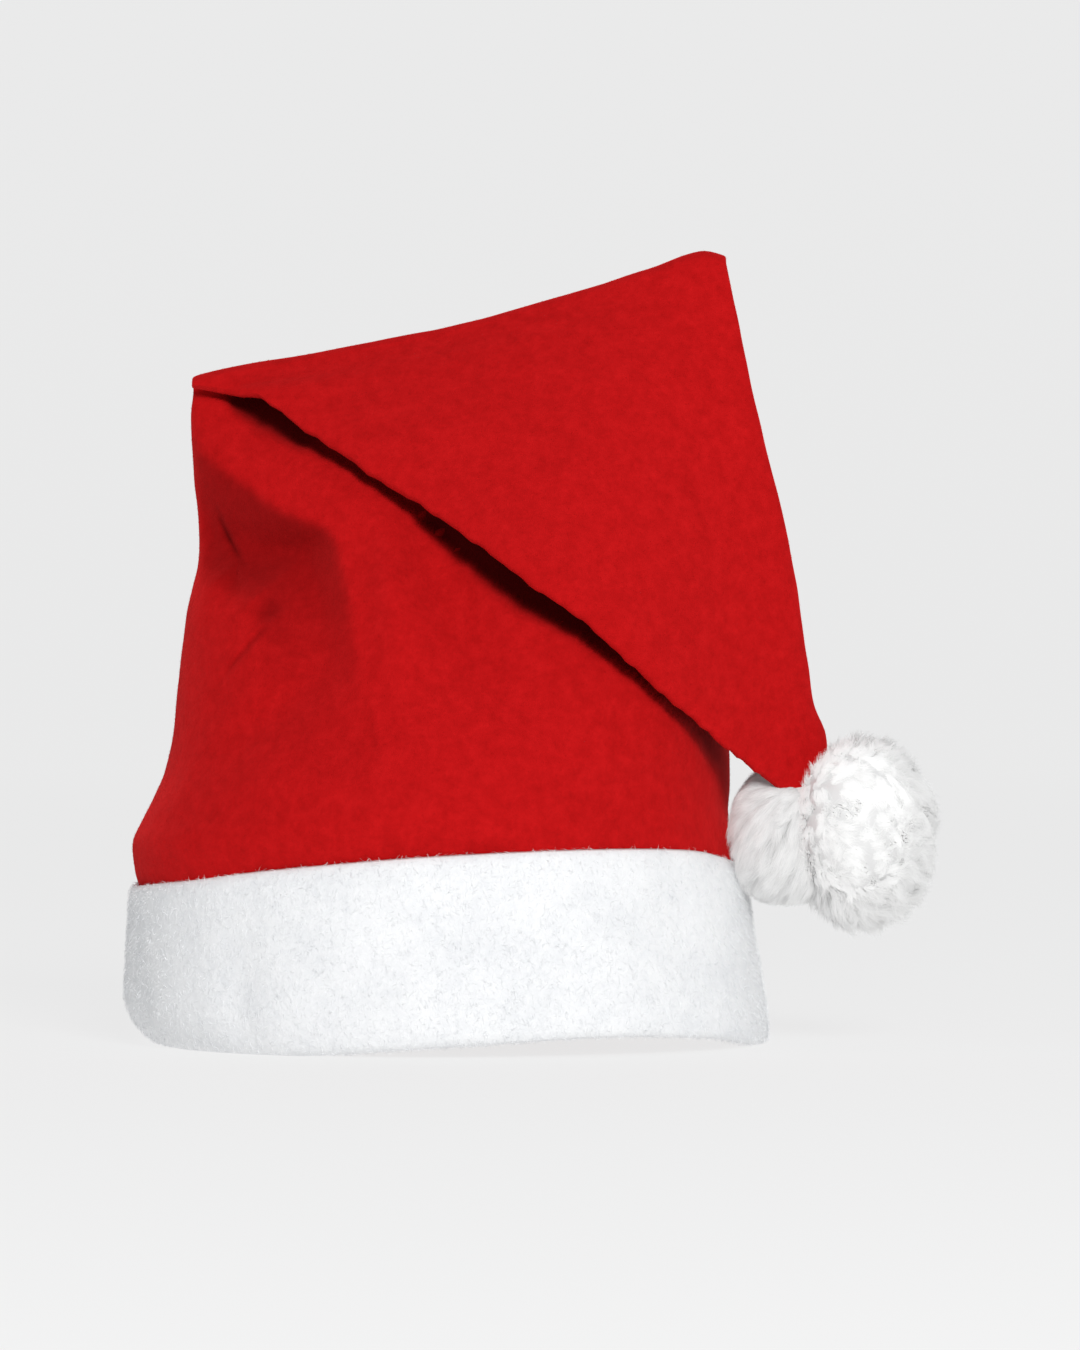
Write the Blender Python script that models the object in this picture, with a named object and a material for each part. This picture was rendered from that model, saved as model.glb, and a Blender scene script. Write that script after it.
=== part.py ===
"""A santa hat: a red felt crown whose tall cone is folded over to the front, a padded white
plush band round its rim, and a white pompom sewn to the cone's tip.

Metres, +Z up, the rim standing on Z = 0. The front, where the folded flap hangs, is -Y, and
the pompom hangs at the right, +X. Angles round the hat start at +X and pass through the back.
"""

import math
import random
from collections import namedtuple

import bmesh
import bpy
from mathutils import Vector

# Driving sizes of the rim and the band.
OPENING_LENGTH = 0.201
OPENING_WIDTH = 0.171
BAND_WALL = 0.0085
BAND_HEIGHT = 0.0655
BAND_LIP = 0.0020
BAND_LIFT = 0.0065
BAND_ROLL = 0.0085
ROLL_UP = 0.30
GROOVE_DEPTH = 0.0090

# Driving sizes of the crown. The crease is the line on which the cone folds over.
CLOTH = 0.0020
CREASE_LENGTH = 0.1919
CREASE_HEIGHT = 0.2490
CREASE_SLOPE = math.radians(13.6)
CREASE_SHIFT = 0.0058
FOLD_AIR = 0.0016
FOLD_GAP = 0.0024
FLAP_PUFF = 0.0055
COVER_ROUND = 1.2
DENT_FADE = 0.08

# Driving sizes of the pompom.
POMPOM_WIDTH = 0.0750
POMPOM_HEIGHT = 0.0750
POMPOM_RISE = 0.0740
POMPOM_TUCK = 0.0045
LOCK_HEIGHT = 0.0065
LOCK_LEAN = 0.0012
LOCK_SPREAD = 0.25
LOCK_TAPER = 0.0007
LOCK_SHOULDER = 0.55

# Room between pieces that touch.
GAP = 0.0003
SOCKET_ROOM = 0.0012

# Fineness of the solids.
AROUND = 40
BODY_RINGS = 20
RING_EVENNESS = 0.72
FOLD_RINGS = 5
FOLD_TURN = math.radians(150.0)
FLAP_RINGS = 16
FLAP_START = 0.06
SOCKET_RINGS = 9
CORE_DIVISIONS = 3
COVER_HALVINGS = 24
SLOPE_STEP = 0.01
SHARP_ANGLE = math.radians(50.0)
SEED = 4

# Colours and roughness of the felt, the plush and the fur.
RED = (0.55, 0.008, 0.010)
PLUSH_WHITE = (0.86, 0.86, 0.87)
FUR_WHITE = (0.90, 0.90, 0.90)
MATT = 0.95

# Worked out from the driving sizes.
HALF_LENGTH = OPENING_LENGTH / 2 + BAND_WALL
HALF_WIDTH = OPENING_WIDTH / 2 + BAND_WALL
FOLD_HALF = CLOTH + FOLD_AIR / 2
FOLD_RADIUS = FOLD_HALF + FOLD_GAP / 2

# The band's outer face, from the floor to its top edge: shares of the half length to the left
# and to the right, and of the half width.
BandRow = namedtuple("BandRow", "up left right depth")
BAND_FACE = (
    BandRow(0.00, 1.010, 1.052, 1.020),
    BandRow(0.30, 1.017, 1.026, 1.015),
    BandRow(0.60, 1.010, 0.996, 1.010),
    BandRow(1.00, 0.997, 0.963, 0.985),
)

# Round the band: its top edge as a share of its height, the share of BAND_LIFT by which its
# foot stands off the floor, and the share of BAND_ROLL by which its foot curls in.
RimRow = namedtuple("RimRow", "degrees top lift roll")
BAND_RIM = (
    RimRow(0, 0.943, 0.00, 0.00),
    RimRow(45, 0.978, 0.00, 0.15),
    RimRow(90, 0.988, 0.00, 0.25),
    RimRow(135, 0.938, 0.00, 0.50),
    RimRow(180, 0.848, 0.10, 1.00),
    RimRow(212, 0.888, 0.00, 0.75),
    RimRow(241, 0.973, 0.00, 0.45),
    RimRow(270, 1.043, 0.55, 0.20),
    RimRow(300, 1.073, 1.00, 0.05),
    RimRow(326, 1.055, 0.70, 0.00),
    RimRow(344, 0.994, 0.20, 0.00),
    RimRow(360, 0.943, 0.00, 0.00),
)

# The crown's body, from the band to the crease: how far it bulges past the straight line
# between the ends, as shares of the half length; its half depth, as a share of the half width
# over the fold's own; and the power of its superellipse.
BodyRow = namedtuple("BodyRow", "up left right depth square")
BODY = (
    BodyRow(0.000, 0.000, 0.000, 0.953, 2.0),
    BodyRow(0.030, 0.018, -0.008, 0.974, 2.0),
    BodyRow(0.085, 0.036, -0.026, 0.985, 2.0),
    BodyRow(0.130, 0.015, -0.020, 0.960, 2.0),
    BodyRow(0.175, -0.016, -0.021, 0.930, 2.1),
    BodyRow(0.230, -0.046, -0.022, 0.892, 2.1),
    BodyRow(0.300, -0.060, -0.024, 0.838, 2.1),
    BodyRow(0.410, -0.055, -0.026, 0.745, 2.1),
    BodyRow(0.550, -0.059, -0.027, 0.613, 2.2),
    BodyRow(0.600, -0.068, -0.026, 0.561, 2.2),
    BodyRow(0.650, -0.077, -0.025, 0.507, 2.2),
    BodyRow(0.720, -0.068, -0.023, 0.425, 2.3),
    BodyRow(0.830, -0.034, -0.018, 0.285, 2.5),
    BodyRow(0.950, -0.002, -0.006, 0.095, 3.2),
    BodyRow(1.000, 0.000, 0.000, 0.000, 5.0),
)

# The crease sags between its ends: shares of its length, across and up.
CreaseRow = namedtuple("CreaseRow", "across rise")
CREASE = (
    CreaseRow(0.00, 0.006),
    CreaseRow(0.20, -0.009),
    CreaseRow(0.40, -0.017),
    CreaseRow(0.55, -0.022),
    CreaseRow(0.68, -0.015),
    CreaseRow(0.85, -0.005),
    CreaseRow(0.95, 0.007),
    CreaseRow(1.00, -0.008),
)

# The flap, from the crease to the tip, by its two edges. A point is so many creases across
# from the crease's left end and so many lengths of the line from there to the tip. Then its
# half thickness, as a share of the puff over the fold's own, and its superellipse's power.
FlapRow = namedtuple("FlapRow", "left_across left_down right_across right_down puff square")
FLAP = (
    FlapRow(0.000, 0.000, 1.000, 0.000, 0.0, 5.0),
    FlapRow(0.078, 0.030, 0.920, 0.086, 0.2, 4.5),
    FlapRow(0.080, 0.130, 0.837, 0.173, 0.5, 4.0),
    FlapRow(0.085, 0.240, 0.746, 0.271, 0.8, 3.5),
    FlapRow(0.088, 0.350, 0.656, 0.370, 1.0, 3.0),
    FlapRow(0.080, 0.470, 0.562, 0.476, 1.0, 2.8),
    FlapRow(0.073, 0.590, 0.470, 0.573, 1.0, 2.6),
    FlapRow(0.050, 0.700, 0.386, 0.658, 1.0, 2.5),
    FlapRow(0.028, 0.800, 0.300, 0.745, 1.0, 2.4),
    FlapRow(0.012, 0.880, 0.225, 0.820, 0.9, 2.3),
    FlapRow(0.008, 0.935, 0.178, 0.880, 0.8, 2.2),
    FlapRow(0.000, 0.990, 0.120, 0.935, 0.6, 2.0),
)

# Dents and ridges of the body: on the front (-1) or the back (1); where, as shares across (-1
# left end, 1 right end) and up; how far they reach along and over their own line, as shares of
# the half length; how the line is turned; and how deep they press in, as a share of the half
# width. Ridges are negative.
Dent = namedtuple("Dent", "side across up along over degrees depth")
DENTS = (
    Dent(-1, -0.61, 0.66, 0.27, 0.12, -14, 0.140),
    Dent(-1, -0.76, 0.56, 0.13, 0.08, 24, 0.070),
    Dent(-1, -0.48, 0.54, 0.20, 0.12, 62, 0.080),
    Dent(-1, -0.54, 0.78, 0.32, 0.07, -32, -0.050),
    Dent(-1, -0.24, 0.54, 0.24, 0.08, -78, -0.060),
    Dent(-1, -0.03, 0.52, 0.36, 0.11, -58, 0.090),
    Dent(-1, -0.60, 0.33, 0.30, 0.09, 35, 0.050),
    Dent(-1, 0.62, 0.10, 0.26, 0.10, 8, 0.030),
    Dent(1, -0.50, 0.42, 0.42, 0.12, 66, 0.080),
    Dent(1, 0.10, 0.55, 0.50, 0.13, 84, 0.060),
    Dent(1, 0.60, 0.38, 0.40, 0.12, -64, 0.080),
)

# The pompom's two lobes, one each side of the sewn tip: centres and half sizes as shares of
# its width and height.
Lobe = namedtuple("Lobe", "across toward up half_across half_toward half_up")
LOBES = (
    Lobe(0.135, 0.060, 0.000, 0.365, 0.400, 0.500),
    Lobe(-0.220, -0.060, -0.030, 0.280, 0.300, 0.330),
)
TIP_ACROSS = -0.150
TIP_UP = 0.125


def clean_scene():
    for obj in list(bpy.data.objects):
        bpy.data.objects.remove(obj)


def collection_named(name):
    made = bpy.data.collections.new(name)
    bpy.context.scene.collection.children.link(made)
    return made


def cloth_material(name, colour):
    material = bpy.data.materials.new(name)
    material.use_nodes = True
    shader = material.node_tree.nodes["Principled BSDF"]
    shader.inputs["Base Color"].default_value = (*colour, 1.0)
    shader.inputs["Roughness"].default_value = MATT
    shader.inputs["Metallic"].default_value = 0.0
    return material


def mix(a, b, share):
    return a + (b - a) * share


def read(rows, at):
    """A table's row at a value of its first column, on a smooth curve through the rows."""
    keys = [row[0] for row in rows]
    at = min(max(at, keys[0]), keys[-1])
    i = max(k for k in range(len(rows) - 1) if keys[k] <= at)
    span = keys[i + 1] - keys[i]
    share = (at - keys[i]) / span
    found = [at]
    for column in range(1, len(rows[0])):
        here, there = rows[i][column], rows[i + 1][column]
        slopes = []
        for k in (i, i + 1):
            low, high = max(k - 1, 0), min(k + 1, len(rows) - 1)
            rise = rows[high][column] - rows[low][column]
            slopes.append(rise / (keys[high] - keys[low]) * span)
        square, cube = share * share, share ** 3
        found.append(
            here * (2 * cube - 3 * square + 1)
            + there * (3 * square - 2 * cube)
            + slopes[0] * (cube - 2 * square + share)
            + slopes[1] * (cube - square)
        )
    return type(rows[0])(*found)


def superellipse(angle, square):
    """The share across, from -1 to 1, and the share of the half depth, at an angle."""
    across = math.cos(angle)
    depth = max(0.0, 1 - abs(across) ** square) ** (1 / square)
    return across, math.copysign(depth, math.sin(angle))


# The band's outline.

def rim_at(angle):
    return read(BAND_RIM, math.degrees(angle) % 360)


def band_top(angle):
    return BAND_HEIGHT * rim_at(angle).top


def band_point(angle, inset, up):
    """A point of the band: so far in from its outer face, and a share of the way up."""
    face = read(BAND_FACE, up)
    rim = rim_at(angle)
    roll = BAND_ROLL * rim.roll * max(0.0, 1 - up / ROLL_UP) ** 2
    middle = HALF_LENGTH * (face.right - face.left) / 2
    half = HALF_LENGTH * (face.right + face.left) / 2
    x = middle + (half - inset - roll) * math.cos(angle)
    y = (HALF_WIDTH * face.depth - inset - roll) * math.sin(angle)
    lift = max(0.0, BAND_LIFT * rim.lift)
    return Vector((x, y, mix(lift, band_top(angle), up)))


# The crown's body.

BASE_LEFT = Vector((band_point(math.pi, BAND_LIP, 1.0).x, 0, band_top(math.pi)))
BASE_RIGHT = Vector((band_point(0.0, BAND_LIP, 1.0).x, 0, band_top(0.0)))
BASE_DEPTH = band_point(math.pi / 2, BAND_LIP, 1.0).y
CREASE_ALONG = Vector((math.cos(CREASE_SLOPE), 0, math.sin(CREASE_SLOPE)))
CREASE_MIDDLE = Vector((CREASE_SHIFT, 0, CREASE_HEIGHT))
CREASE_LEFT = CREASE_MIDDLE - CREASE_ALONG * CREASE_LENGTH / 2
CREASE_RIGHT = CREASE_MIDDLE + CREASE_ALONG * CREASE_LENGTH / 2


def crease_sag(across):
    """How far the crease lies above its straight line, at -1 to 1 across."""
    return CREASE_LENGTH * read(CREASE, (across + 1) / 2).rise


def body_ends(up):
    """The left and right end of the body's section, and the section's table row."""
    row = read(BODY, up)
    left = BASE_LEFT.lerp(CREASE_LEFT, up)
    right = BASE_RIGHT.lerp(CREASE_RIGHT, up)
    left.x -= HALF_LENGTH * row.left
    right.x += HALF_LENGTH * row.right
    return left, right, row


def body_half_depth(row):
    return FOLD_HALF + row.depth / BODY[0].depth * (BASE_DEPTH - FOLD_HALF)


def dented(side, across, up):
    """How far the cloth is pressed in towards the middle of the hat."""
    pressed = 0.0
    height = CREASE_HEIGHT - BAND_HEIGHT
    for dent in DENTS:
        if dent.side * side <= 0:
            continue
        dx = (across - dent.across) * HALF_LENGTH
        dz = (up - dent.up) * height
        turn = math.radians(dent.degrees)
        along = (dx * math.cos(turn) + dz * math.sin(turn)) / (dent.along * HALF_LENGTH)
        over = (dz * math.cos(turn) - dx * math.sin(turn)) / (dent.over * HALF_LENGTH)
        pressed += dent.depth * math.exp(-along * along - over * over)
    fade = min(1.0, up / DENT_FADE) * min(1.0, (1 - up) / DENT_FADE)
    return HALF_WIDTH * pressed * fade * abs(side)


def body_point(up, angle, inset):
    left, right, row = body_ends(up)
    across, deep = superellipse(angle, row.square)
    middle, half = (left + right) / 2, (right - left) / 2
    shrink = (half.length - inset) / half.length
    point = middle + half * across * shrink
    ring_share = (1 - up) ** 3
    straight = mix(BASE_LEFT.z, BASE_RIGHT.z, (across + 1) / 2)
    point.z += ring_share * (band_top(angle) - straight)
    point.z += up ** 3 * crease_sag(across)
    point.y = deep * (body_half_depth(row) - inset)
    point.y -= deep * dented(deep, across * shrink, up)
    return point


def body_cover(x, z):
    """How far forward a cloth lies that is hung over the body at a place in the front view."""
    low, high = 0.0, 1.0
    for _ in range(COVER_HALVINGS):
        up = (low + high) / 2
        left, right, _ = body_ends(up)
        share = (x - left.x) / (right.x - left.x)
        if mix(left.z, right.z, share) < z:
            low = up
        else:
            high = up
    left, right, row = body_ends((low + high) / 2)
    across = 2 * (x - left.x) / (right.x - left.x) - 1
    return body_half_depth(row) / (1 + COVER_ROUND * across ** 4)


# The pompom's place, and the tip's.

POMPOM_CENTRE_X = BASE_RIGHT.x - POMPOM_TUCK + POMPOM_WIDTH / 2
TIP = Vector((POMPOM_CENTRE_X + TIP_ACROSS * POMPOM_WIDTH, 0, POMPOM_RISE + TIP_UP * POMPOM_HEIGHT))


# The fold and the flap. Their front faces are the body's back turned over.

def fold_point(turn, angle, inset):
    across, deep = superellipse(angle, FLAP[0].square)
    shrink = 1 - 2 * inset / CREASE_LENGTH
    point = CREASE_MIDDLE + CREASE_ALONG * (CREASE_LENGTH / 2 * across * shrink)
    point.z += crease_sag(across)
    reach = FOLD_RADIUS + deep * (FOLD_HALF - inset)
    point.y = -FOLD_RADIUS + reach * math.cos(turn)
    point.z += reach * math.sin(turn)
    return point


def flap_row(down):
    """The flap's table row at a share from the crease (0) to the tip (1)."""
    count = len(FLAP) - 1
    keyed = [(i / count, *row) for i, row in enumerate(FLAP)]
    rows = [namedtuple("Keyed", ("at", *FlapRow._fields))(*row) for row in keyed]
    return read(rows, down)


def flap_half(row):
    return mix(FOLD_HALF, FLAP_PUFF, row.puff)


def flap_middle(down, across):
    """The flap's middle surface: down from the crease, and across from -1 to 1."""
    row = flap_row(down)
    crease = CREASE_RIGHT - CREASE_LEFT
    slant = TIP - CREASE_LEFT
    left = CREASE_LEFT + crease * row.left_across + slant * row.left_down
    right = CREASE_LEFT + crease * row.right_across + slant * row.right_down
    point = left.lerp(right, (across + 1) / 2)
    point.z += (1 - down) ** 4 * crease_sag(max(-1.0, min(1.0, across)))
    point.y = -(body_cover(point.x, point.z) + FOLD_GAP + flap_half(row))
    return point


def flap_normal(down, across):
    low, high = max(down - SLOPE_STEP, 0.0), min(down + SLOPE_STEP, 1.0)
    along = flap_middle(high, across) - flap_middle(low, across)
    over = flap_middle(down, across + SLOPE_STEP) - flap_middle(down, across - SLOPE_STEP)
    return along.cross(over).normalized()


def flap_point(down, angle, inset):
    row = flap_row(down)
    across, deep = superellipse(angle, row.square)
    half = (flap_middle(down, 1) - flap_middle(down, -1)).length / 2
    across *= (half - inset) / half
    return flap_middle(down, across) + flap_normal(down, across) * deep * (flap_half(row) - inset)


# Solids.

def link_mesh(name, bm, material, collection):
    bmesh.ops.recalc_face_normals(bm, faces=bm.faces)
    mesh = bpy.data.meshes.new(name)
    bm.to_mesh(mesh)
    bm.free()
    mesh.materials.append(material)
    mesh.shade_smooth()
    mesh.set_sharp_from_angle(angle=SHARP_ANGLE)
    obj = bpy.data.objects.new(name, mesh)
    collection.objects.link(obj)
    return obj


def skin(bm, rings, closed=False):
    """Joins rings of as many points by triangles, all slanted alike, and returns the rings."""
    made = [[bm.verts.new(point) for point in ring] for ring in rings]
    count = len(made[0])
    pairs = list(zip(made, made[1:]))
    if closed:
        pairs.append((made[-1], made[0]))
    for first, second in pairs:
        for i in range(count):
            j = (i + 1) % count
            bm.faces.new((first[i], first[j], second[j]))
            bm.faces.new((first[i], second[j], second[i]))
    return made


def close_end(bm, ring, point):
    pole = bm.verts.new(point)
    for i, vert in enumerate(ring):
        bm.faces.new((vert, ring[(i + 1) % len(ring)], pole))


def angles():
    return [2 * math.pi * i / AROUND for i in range(AROUND)]


def flap_downs():
    """The flap's rings, as shares from the crease to the tip."""
    return [mix(FLAP_START, 1.0, i / (FLAP_RINGS - 1)) for i in range(FLAP_RINGS)]


def crown_rings(inset):
    """The crown's rings from its lower edge, in the band's groove, to its tip."""
    foot_up = 1 - (GROOVE_DEPTH - 2 * GAP) / BAND_HEIGHT
    foot = [band_point(a, BAND_LIP + inset, foot_up) for a in angles()]
    rings = [foot]
    for i in range(BODY_RINGS):
        share = i / (BODY_RINGS - 1)
        up = mix(share * share, share, RING_EVENNESS)
        rings.append([body_point(up, a, inset) for a in angles()])
    for i in range(1, FOLD_RINGS + 1):
        turn = FOLD_TURN * i / FOLD_RINGS
        rings.append([fold_point(turn, a, inset) for a in angles()])
    rings += [[flap_point(down, a, inset) for a in angles()] for down in flap_downs()]
    return rings


def tip_end(inset):
    """The middle of the crown's closed tip, on a face that is so far in."""
    last, before = flap_middle(1.0, 0), flap_middle(1.0 - 2 * SLOPE_STEP, 0)
    return last + (last - before).normalized() * (CLOTH - inset)


def crown(collection):
    bm = bmesh.new()
    outside = skin(bm, crown_rings(0.0))
    inside = skin(bm, crown_rings(CLOTH))
    close_end(bm, outside[-1], tip_end(0.0))
    close_end(bm, inside[-1], tip_end(CLOTH))
    for i in range(AROUND):
        j = (i + 1) % AROUND
        bm.faces.new((outside[0][i], outside[0][j], inside[0][j], inside[0][i]))
    red = cloth_material("red_felt", RED)
    return link_mesh("crown", bm, red, collection)


def band_profile():
    """The band's cross-section as insets from its outer face and shares of its height."""
    slot_out, slot_in = BAND_LIP - GAP, BAND_LIP + CLOTH + GAP
    slot_floor = 1 - GROOVE_DEPTH / BAND_HEIGHT
    wall = BAND_WALL
    return (
        (0.30 * wall, 0.000),
        (0.06 * wall, 0.035),
        (0.00 * wall, 0.140),
        (0.00 * wall, 0.420),
        (0.00 * wall, 0.700),
        (0.03 * wall, 0.900),
        (slot_out * 0.45, 0.980),
        (slot_out, 1.000),
        (slot_out, slot_floor),
        (slot_in, slot_floor),
        (slot_in, 0.995),
        (mix(slot_in, wall, 0.6), 0.985),
        (wall, 0.900),
        (wall, 0.500),
        (wall, 0.100),
        (0.72 * wall, 0.000),
    )


def band(collection):
    bm = bmesh.new()
    rings = [[band_point(a, inset, up) for inset, up in band_profile()] for a in angles()]
    skin(bm, rings, closed=True)
    white = cloth_material("white_plush", PLUSH_WHITE)
    return link_mesh("band", bm, white, collection)


def lobe_reach(direction):
    """How far the pompom's two lobes reach from its centre in a direction."""
    reaches = []
    for lobe in LOBES:
        centre = Vector((lobe.across, -lobe.toward, lobe.up))
        half = Vector((lobe.half_across, lobe.half_toward, lobe.half_up))
        ray = Vector([direction[k] / half[k] for k in range(3)])
        start = Vector([-centre[k] / half[k] for k in range(3)])
        a, b, c = ray.dot(ray), 2 * ray.dot(start), start.dot(start) - 1
        reaches.append((-b + math.sqrt(max(0.0, b * b - 4 * a * c))) / (2 * a))
    return max(reaches)


def pompom_size():
    return Vector((POMPOM_WIDTH, POMPOM_WIDTH, POMPOM_HEIGHT))


def pompom_centre():
    return Vector((POMPOM_CENTRE_X, flap_middle(1.0, 0).y, POMPOM_RISE))


def draw_out_lock(bm, face):
    """Draws one face of the core outward into a tapered lock that leans a little."""
    height = LOCK_HEIGHT * random.uniform(1 - LOCK_SPREAD, 1)
    bmesh.ops.inset_individual(bm, faces=[face], thickness=LOCK_TAPER)
    for vert in face.verts:
        vert.co += vert.co.normalized() * height * LOCK_SHOULDER
    tip = bmesh.ops.poke(bm, faces=[face])["verts"][0]
    lean = Vector([random.uniform(-1, 1) for _ in range(3)])
    tip.co += tip.co.normalized() * height * (1 - LOCK_SHOULDER) + lean * LOCK_LEAN


def pompom(collection, cutters):
    """A core of two lobes whose every face is drawn out into a lock."""
    random.seed(SEED)
    bm = bmesh.new()
    bmesh.ops.create_icosphere(bm, subdivisions=CORE_DIVISIONS, radius=1.0)
    size = pompom_size()
    for vert in bm.verts:
        direction = vert.co.normalized()
        share = lobe_reach(direction)
        reach = Vector([direction[k] * share * size[k] for k in range(3)])
        vert.co = reach * (1 - 2 * LOCK_HEIGHT / POMPOM_WIDTH)
    for face in list(bm.faces):
        draw_out_lock(bm, face)
    bmesh.ops.translate(bm, verts=bm.verts, vec=pompom_centre())
    bmesh.ops.triangulate(bm, faces=bm.faces)
    white = cloth_material("white_fur", FUR_WHITE)
    obj = link_mesh("pompom", bm, white, collection)
    socket = obj.modifiers.new("tip socket", "BOOLEAN")
    socket.operation = "DIFFERENCE"
    socket.object = tip_cutter(white, cutters)
    return obj


def tip_cutter(material, cutters):
    """The crown's tip and the flap above it, larger by the socket's room on every side."""
    bm = bmesh.new()
    downs = flap_downs()[-SOCKET_RINGS:]
    rings = skin(bm, [[flap_point(down, a, -SOCKET_ROOM) for a in angles()] for down in downs])
    close_end(bm, rings[0], flap_middle(downs[0], 0))
    close_end(bm, rings[-1], tip_end(-SOCKET_ROOM))
    cutter = link_mesh("tip_cutter", bm, material, cutters)
    cutter.hide_render = True
    cutter.display_type = "WIRE"
    return cutter


def stand_over_origin(objects, cutters):
    """Puts the middle of the hat's box over the origin."""
    graph = bpy.context.evaluated_depsgraph_get()
    points = []
    for obj in objects:
        evaluated = obj.evaluated_get(graph)
        mesh = evaluated.to_mesh()
        points += [vert.co.copy() for vert in mesh.vertices]
        evaluated.to_mesh_clear()
    for axis in range(2):
        values = [point[axis] for point in points]
        middle = (min(values) + max(values)) / 2
        for obj in [*objects, *cutters.objects]:
            obj.location[axis] -= middle


def main():
    clean_scene()
    hat = collection_named("santa_hat")
    cutters = collection_named("cutters")
    pieces = [crown(hat), band(hat), pompom(hat, cutters)]
    stand_over_origin(pieces, cutters)


main()
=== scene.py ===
"""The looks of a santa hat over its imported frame: brushed red felt folded over to the front, a
padded band of short white plush, and a white fur pompom in two lobes.

Metres, in the frame's own axes: +Z up, -Y the front. The shapes are worked out round the
middle of the band, and moved to where the frame has it at the end.
"""

import math
from collections import namedtuple

import bmesh
import bpy
import numpy as np
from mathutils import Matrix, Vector, noise
from mathutils.bvhtree import BVHTree


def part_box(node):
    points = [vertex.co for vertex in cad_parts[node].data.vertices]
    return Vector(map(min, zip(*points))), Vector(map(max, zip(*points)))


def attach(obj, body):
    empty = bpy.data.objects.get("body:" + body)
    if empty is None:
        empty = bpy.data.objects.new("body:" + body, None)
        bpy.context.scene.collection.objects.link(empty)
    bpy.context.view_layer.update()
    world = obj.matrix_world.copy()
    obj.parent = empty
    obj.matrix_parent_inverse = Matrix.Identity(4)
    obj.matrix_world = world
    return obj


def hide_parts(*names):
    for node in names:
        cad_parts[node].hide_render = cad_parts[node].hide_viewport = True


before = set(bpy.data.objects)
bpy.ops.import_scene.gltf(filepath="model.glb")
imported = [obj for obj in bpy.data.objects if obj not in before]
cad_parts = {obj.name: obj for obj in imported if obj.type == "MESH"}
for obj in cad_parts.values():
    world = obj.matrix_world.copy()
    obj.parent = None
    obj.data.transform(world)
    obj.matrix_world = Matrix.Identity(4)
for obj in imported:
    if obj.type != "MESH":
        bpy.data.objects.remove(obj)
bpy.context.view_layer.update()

# Sizes of the rim and the band, as the frame has them.
HALF_LENGTH = 0.1090
HALF_WIDTH = 0.0940
BAND_WALL = 0.0085
BAND_HEIGHT = 0.0655
BAND_LIP = 0.0020
BAND_LIFT = 0.0065
BAND_ROLL = 0.0085
ROLL_UP = 0.30

# Sizes of the crown, as the frame has them.
CLOTH = 0.0020
CREASE_LENGTH = 0.1919
CREASE_HEIGHT = 0.2490
CREASE_SLOPE = math.radians(13.6)
CREASE_SHIFT = 0.0058
COVER_ROUND = 1.2
FOLD_AIR = 0.0016
FOLD_GAP = 0.0024
FLAP_PUFF = 0.0055
FLAP_START = 0.06
FOLD_TURN = math.radians(150.0)
FOLD_HALF = CLOTH + FOLD_AIR / 2
FOLD_RADIUS = FOLD_HALF + FOLD_GAP / 2
HEM_DEPTH = 0.0080

# Sizes of the pompom, as the frame has them.
POMPOM_WIDTH = 0.0750
POMPOM_HEIGHT = 0.0750
POMPOM_RISE = 0.0740
POMPOM_TUCK = 0.0045
TIP_ACROSS = -0.150
TIP_UP = 0.125

# Fineness of the cloth. The crown's front left, where the folds are, has the most points.
CROWN_AROUND = 300
CROWN_FOLDED = math.radians(222.0)
CROWN_FOLDED_REACH = math.radians(46.0)
CROWN_FOLDED_SHARE = 2.4
BODY_RINGS = 180
FOLD_RINGS = 14
LINING_FOLD_RINGS = 4
FLAP_RINGS = 112
LINING_AROUND = 90
LINING_RINGS = 50
BAND_AROUND = 260
BAND_STEPS = 44
COVER_HALVINGS = 22
SLOPE_STEP = 0.01
LINE_SAMPLES = 160
ANGLE_SAMPLES = 2000
SEED = 11

BandRow = namedtuple("BandRow", "up left right depth")
BAND_FACE = (
    BandRow(0.00, 1.010, 1.052, 1.020),
    BandRow(0.30, 1.017, 1.026, 1.015),
    BandRow(0.60, 1.010, 0.996, 1.010),
    BandRow(1.00, 0.997, 0.963, 0.985),
)

RimRow = namedtuple("RimRow", "degrees top lift roll")
BAND_RIM = (
    RimRow(0, 0.943, 0.00, 0.00),
    RimRow(45, 0.978, 0.00, 0.15),
    RimRow(90, 0.988, 0.00, 0.25),
    RimRow(135, 0.938, 0.00, 0.50),
    RimRow(180, 0.848, 0.10, 1.00),
    RimRow(212, 0.888, 0.00, 0.75),
    RimRow(241, 0.973, 0.00, 0.45),
    RimRow(270, 1.043, 0.55, 0.20),
    RimRow(300, 1.073, 1.00, 0.05),
    RimRow(326, 1.055, 0.70, 0.00),
    RimRow(344, 0.994, 0.20, 0.00),
    RimRow(360, 0.943, 0.00, 0.00),
)

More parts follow.
